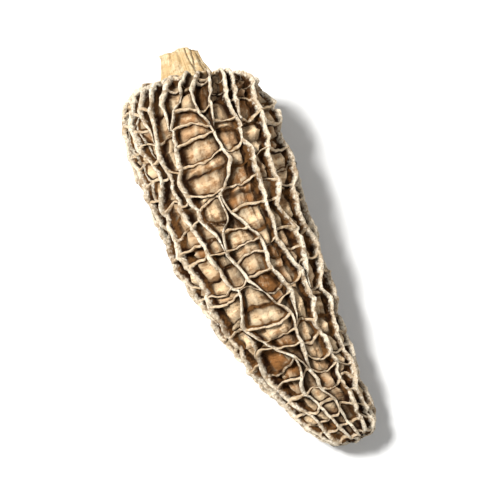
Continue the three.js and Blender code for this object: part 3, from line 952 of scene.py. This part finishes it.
def make_morel():
    """Makes the sheet as a flat grid, moves its points into place, and closes it along the seams."""
    counts = lines_across()
    columns = [(i, line) for i in range(COUNT) for line in range(counts[i])]
    columns.append((COUNT - 1, counts[-1]))
    rows = sheet_rows()

    bm = bmesh.new()
    layers = {name: bm.verts.layers.float.new(name) for name in MARKS}
    bmesh.ops.create_grid(bm, x_segments=len(columns) - 1, y_segments=len(rows) - 1, size=1)
    half_x, half_y = (len(columns) - 1) / 2, (len(rows) - 1) / 2
    where = {v: (round((v.co.x + 1) * half_x), round((v.co.y + 1) * half_y)) for v in bm.verts}

    closed = []
    for face in bm.faces:
        column = min(where[v][0] for v in face.verts)
        row = min(where[v][1] for v in face.verts)
        if is_closed(columns[column][0], rows[row], rows[row + 1]):
            closed.append(face)

    for v, (column, row) in where.items():
        i, line, lines = meeting_line(*columns[column], counts, station_of(*rows[row]))
        point, marks = flesh_at(*rows[row], i, line, lines)
        v.co = point * MM
        for name, value in marks.items():
            v[layers[name]] = value
    bmesh.ops.delete(bm, geom=closed, context="FACES")
    bmesh.ops.remove_doubles(bm, verts=bm.verts, dist=JOIN_DISTANCE)
    bmesh.ops.recalc_face_normals(bm, faces=bm.faces)
    for face in bm.faces:
        face.smooth = True

    mesh = bpy.data.meshes.new("dried_morel")
    bm.to_mesh(mesh)
    bm.free()
    morel = bpy.data.objects.new("dried_morel", mesh)
    bpy.context.scene.collection.objects.link(morel)
    return morel


morel = make_morel()


# ---- materials ----

# The flesh's grains: how many swells a millimetre, and how they are stretched
GRAINS = {
    "blotch": {"pace": 0.3, "stretch": (1, 1, 1)},
    "patch": {"pace": 0.7, "stretch": (1, 1, 1)},
    "streak": {"pace": 1.4, "stretch": (1, 0.35, 0.35)},
    "speck": {"pace": 2.2, "stretch": (1, 1, 1)},
    "fleck": {"pace": 3.4, "stretch": (1, 1, 1)},
    "pore": {"pace": 6.0, "stretch": (1, 1, 1)},
}
GRAIN_DETAIL = 3.0
GRAIN_ROUGHNESS = 0.6

# Finishes: the ground's colour, from 0 to 255, then the coats over it. A coat follows a grain or a mark: it
# begins to show at the first value, and reaches its full share at the second.
FINISHES = {
    "pit floor": (
        (230, 197, 155),
        ("tone", (0.92, 1.1), 1.0, (150, 102, 58)),
        ("streak", (0.46, 0.64), 0.8, (138, 96, 56)),
        ("speck", (0.5, 0.7), 0.4, (104, 68, 36)),
    ),
    # the walls' near-black ground is partly the flesh's own darker colour and partly painted shade
    "wall_and_shade": (
        (34, 16, 4),
        ("patch", (0.4, 0.62), 1.0, (98, 66, 35)),
        ("speck", (0.5, 0.7), 0.45, (40, 20, 6)),
    ),
    "crest": (
        (218, 204, 180),
        ("blotch", (0.42, 0.6), 1.0, (190, 172, 146)),
        ("patch", (0.5, 0.66), 0.85, (144, 120, 92)),
        ("speck", (0.5, 0.66), 0.8, (228, 218, 200)),
        ("fleck", (0.52, 0.66), 0.7, (128, 106, 82)),
    ),
    "stem": (
        (208, 188, 152),
        ("patch", (0.4, 0.6), 1.0, (194, 166, 122)),
        ("streak", (0.45, 0.66), 0.6, (178, 146, 100)),
        ("speck", (0.56, 0.72), 0.6, (164, 130, 86)),
    ),
    "lining": (
        (196, 164, 112),
        ("blotch", (0.4, 0.6), 1.0, (160, 124, 78)),
    ),
}
# A fade goes from one value of a grain or mark to another, and from one share to another
PALE = {"colour": (236, 214, 178), "patches": (0.5, 0.66, 0, 0.7), "folds": (0.3, 0.9, 0, 0.5)}
# The colour of the painted shade, how it grows in narrow pits with their tone, and its share on floors and on
# walls
PAINTED_SHADE = {"colour": (24, 9, 2), "by tone": (0.84, 1.06, 0.5, 1), "in pits": 0.95, "on walls": 0.6}
RUNG_TINT = {"colour": (190, 158, 118), "share": 0.5}
WALL_EDGE = (0.02, 0.3)  # the edge marks between which a pit's floor turns into its wall
CREST_EDGE = (0.55, 0.9)  # and those between which the wall turns into the crest
WEAR = {"middle": 0.5, "share": 0.6}  # how far the specks shift the crest's edge, from their middle value
DULLNESS = (0.3, 0.7, 0.7, 0.95)  # the fade of the roughness, by the specks
SHINE = 0.05
BUMP = {"pores": 0.5, "strength": 0.9, "distance": 0.0003}  # the pores' share, and a distance in metres


def srgb(r, g, b):
    """A colour from its everyday 0 to 255 values, by the sRGB formula."""
    shades = (((c / 255 + 0.055) / 1.055) ** 2.4 if c > 10 else c / 255 / 12.92 for c in (r, g, b))
    return (*shades, 1.0)


class Nodes:
    """Short ways to add nodes to a material."""

    MIX_INPUTS = (0, 6, 7)  # the places of a Mix node's factor and its two colours
    MIX_RESULT = 2

    def __init__(self, tree):
        self.tree = tree

    def add(self, kind, **values):
        node = self.tree.nodes.new(kind)
        for name, value in values.items():
            setattr(node, name, value)
        return node

    def join(self, source, socket):
        """Links a socket to another one's output, or gives it a plain value."""
        if hasattr(source, "links"):
            self.tree.links.new(source, socket)
        else:
            socket.default_value = source

    def mark(self, name):
        """One of the marks that the mesh carries."""
        return self.add("ShaderNodeAttribute", attribute_name=name).outputs["Fac"]

    def sum(self, operation, *values):
        node = self.add("ShaderNodeMath", operation=operation)
        for value, socket in zip(values, node.inputs):
            self.join(value, socket)
        return node.outputs[0]

    def ease(self, value, low, high, start=0.0, end=1.0):
        """Turns low..high smoothly into start..end."""
        node = self.add("ShaderNodeMapRange", interpolation_type="SMOOTHSTEP")
        for number, socket in zip((value, low, high, start, end), node.inputs):
            self.join(number, socket)
        return node.outputs[0]

    def mix(self, factor, a, b):
        """Colour a, turning into colour b as the factor rises."""
        node = self.add("ShaderNodeMix", data_type="RGBA")
        for source, place in zip((factor, a, b), self.MIX_INPUTS):
            self.join(source, node.inputs[place])
        return node.outputs[self.MIX_RESULT]

    def grain(self, pace, stretch):
        """Noise on the body, from 0 to 1, with `pace` swells a millimetre."""
        where = self.add("ShaderNodeTexCoord").outputs["Object"]
        mapping = self.add("ShaderNodeMapping")
        mapping.inputs["Scale"].default_value = [share * pace / MM for share in stretch]
        self.join(where, mapping.inputs["Vector"])
        node = self.add("ShaderNodeTexNoise")
        self.join(mapping.outputs[0], node.inputs["Vector"])
        node.inputs["Scale"].default_value = 1.0
        node.inputs["Detail"].default_value = GRAIN_DETAIL
        node.inputs["Roughness"].default_value = GRAIN_ROUGHNESS
        return node.outputs["Fac"]


def coated(n, sources, name):
    """A finish's ground under its coats."""
    ground, *coats = FINISHES[name]
    colour = srgb(*ground)
    for follows, (low, high), share, coat in coats:
        colour = n.mix(n.ease(sources[follows], low, high, 0, share), colour, srgb(*coat))
    return colour


def cap_colour(n, sources):
    """Pale creased floors with painted shade in their corners and narrow pits, walls darkened partly by
    painted shade, and pale worn crests.
    """
    edge, narrow_shade, patch = (sources[name] for name in ("edge", "narrow_shade", "patch"))
    pale = n.sum("MAXIMUM", n.ease(patch, *PALE["patches"]), n.ease(sources["fold"], *PALE["folds"]))
    floor = n.mix(pale, coated(n, sources, "pit floor"), srgb(*PALE["colour"]))
    # painted shade in the floors' corners and in narrow pits
    narrow_pit_shade = n.sum("MULTIPLY", narrow_shade, n.ease(sources["tone"], *PAINTED_SHADE["by tone"]))
    painted_shade = n.sum("MAXIMUM", sources["corner_shade"], narrow_pit_shade)
    floor = n.mix(n.sum("MULTIPLY", painted_shade, PAINTED_SHADE["in pits"]), floor, srgb(*PAINTED_SHADE["colour"]))
    wall_and_shade = coated(n, sources, "wall_and_shade")
    # painted shade on the walls of narrow pits
    wall_and_shade = n.mix(n.sum("MULTIPLY", narrow_shade, PAINTED_SHADE["on walls"]), wall_and_shade, srgb(*PAINTED_SHADE["colour"]))
    crest = coated(n, sources, "crest")
    crest = n.mix(n.sum("MULTIPLY", sources["rung"], RUNG_TINT["share"]), crest, srgb(*RUNG_TINT["colour"]))

    wear = n.sum("MULTIPLY", n.sum("SUBTRACT", sources["speck"], WEAR["middle"]), WEAR["share"])
    cap = n.mix(n.ease(edge, *WALL_EDGE), floor, wall_and_shade)
    return n.mix(n.ease(n.sum("ADD", edge, wear), *CREST_EDGE), cap, crest)


def flesh_material():
    material = bpy.data.materials.new("dried flesh")
    material.use_nodes = True
    n = Nodes(material.node_tree)
    shader = n.tree.nodes["Principled BSDF"]
    sources = {name: n.mark(name) for name in MARKS}
    sources.update({name: n.grain(**kind) for name, kind in GRAINS.items()})

    colour = n.mix(sources["stem"], cap_colour(n, sources), coated(n, sources, "stem"))
    colour = n.mix(sources["hollow"], colour, coated(n, sources, "lining"))
    n.join(colour, shader.inputs["Base Color"])
    n.join(n.ease(sources["speck"], *DULLNESS), shader.inputs["Roughness"])
    shader.inputs["Specular IOR Level"].default_value = SHINE

    pores = n.sum("MULTIPLY", sources["pore"], BUMP["pores"])
    heights = n.sum("ADD", sources["streak"], n.sum("ADD", sources["speck"], pores))
    bump = n.add("ShaderNodeBump")
    bump.inputs["Strength"].default_value = BUMP["strength"]
    bump.inputs["Distance"].default_value = BUMP["distance"]
    n.join(heights, bump.inputs["Height"])
    n.join(bump.outputs[0], shader.inputs["Normal"])
    return material


morel.data.materials.append(flesh_material())
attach(morel, "root")
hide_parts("morel")


# ---- floor, light and camera ----

# Sizes are in metres here, apart from the lens and its sensor, which are in millimetres. Azimuths turn from
# -Y towards +X, and a light's is counted on from the camera's.
FLOOR_HALF = 2.0
FLOOR_COLOUR = (0.74, 0.74, 0.73, 1)
FLOOR_ROUGHNESS = 0.9
VIEW = {"azimuth": 67.8, "elevation": 79.0, "distance": 0.38, "lens": 225, "sensor": 36, "clip": 0.01}
TARGET = Vector((0, 0, 0.006))
LIGHTS = {
    "key light": {"azimuth": -108, "elevation": 60, "distance": 0.5, "size": 0.12, "power": 4.7},
    "fill light": {"azimuth": 80, "elevation": 40, "distance": 0.7, "size": 0.5, "power": 2.0},
}
WORLD_LIGHT = 0.2


def make_floor():
    bm = bmesh.new()
    bmesh.ops.create_grid(bm, x_segments=1, y_segments=1, size=FLOOR_HALF)
    mesh = bpy.data.meshes.new("floor")
    bm.to_mesh(mesh)
    bm.free()
    material = bpy.data.materials.new("pale floor")
    material.use_nodes = True
    shader = material.node_tree.nodes["Principled BSDF"]
    shader.inputs["Base Color"].default_value = FLOOR_COLOUR
    shader.inputs["Roughness"].default_value = FLOOR_ROUGHNESS
    mesh.materials.append(material)
    floor = bpy.data.objects.new("floor", mesh)
    bpy.context.scene.collection.objects.link(floor)


def direction(azimuth, elevation):
    a, e = math.radians(azimuth), math.radians(elevation)
    return Vector((math.sin(a) * math.cos(e), -math.cos(a) * math.cos(e), math.sin(e)))


def facing(towards):
    """How a lamp or camera is turned to look that way."""
    return towards.to_track_quat("-Z", "Y").to_euler()


def make_light(name, values):
    lamp = bpy.data.lights.new(name, "AREA")
    lamp.size = values["size"]
    lamp.energy = values["power"]
    light = bpy.data.objects.new(name, lamp)
    towards = direction(VIEW["azimuth"] + values["azimuth"], values["elevation"])
    light.location = towards * values["distance"]
    light.rotation_euler = facing(-light.location)
    bpy.context.scene.collection.objects.link(light)


def make_world():
    world = bpy.data.worlds.new("studio")
    world.use_nodes = True
    background = world.node_tree.nodes["Background"]
    background.inputs["Color"].default_value = (1, 1, 1, 1)
    background.inputs["Strength"].default_value = WORLD_LIGHT
    bpy.context.scene.world = world


def make_camera():
    lens = bpy.data.cameras.new("camera")
    lens.lens = VIEW["lens"]
    lens.sensor_width = VIEW["sensor"]
    lens.clip_start = VIEW["clip"]
    camera = bpy.data.objects.new("camera", lens)
    camera.location = TARGET + VIEW["distance"] * direction(VIEW["azimuth"], VIEW["elevation"])
    camera.rotation_euler = facing(TARGET - camera.location)
    bpy.context.scene.collection.objects.link(camera)
    bpy.context.scene.camera = camera


make_floor()
for name, values in LIGHTS.items():
    make_light(name, values)
make_world()
bpy.context.scene.view_settings.view_transform = "Standard"
make_camera()
